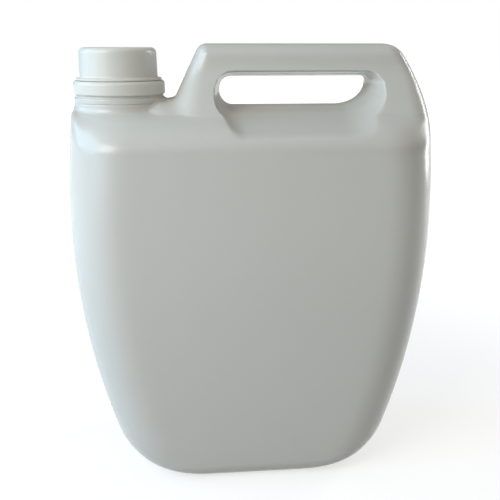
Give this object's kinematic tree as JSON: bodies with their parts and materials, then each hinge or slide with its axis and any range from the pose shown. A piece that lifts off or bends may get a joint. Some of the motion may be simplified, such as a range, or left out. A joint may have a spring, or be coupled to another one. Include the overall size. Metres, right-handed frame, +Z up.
{
  "type": "plastic jerrycan",
  "caption": "Blow-moulded plastic can with a barrel-shaped body, a through handle on top and a screw cap on a neck beside it.",
  "frame": {"origin": "middle of the footprint, on the ground", "axes": "+Z up, +X across the width towards the side away from the neck, -Y towards the front face"},
  "size_m": [0.226, 0.118, 0.2704],
  "materials": {
    "can_plastic": "satin",
    "cap_plastic": "satin",
    "liner_foam": "matte"
  },
  "bodies": {
    "can": {"body": "can_plastic", "tamper_ring": "cap_plastic"},
    "seal": {"liner": "liner_foam"},
    "cap": {"cap": "cap_plastic"}
  },
  "joints": [
    {"name": "cap_lift", "type": "slide", "parent": "can", "child": "seal", "axis": [0, 0, 1], "range_m": [0, 0.0201]},
    {"name": "cap_turn", "type": "hinge", "parent": "seal", "child": "cap", "pos_m": [-0.08, 0, 0.25], "axis": [0, 0, 1], "range_deg": [0, 1440]}
  ],
  "couplings": [
    {"joint": "cap_lift", "follows": "cap_turn", "m_per_rad": 0.00079577}
  ]
}
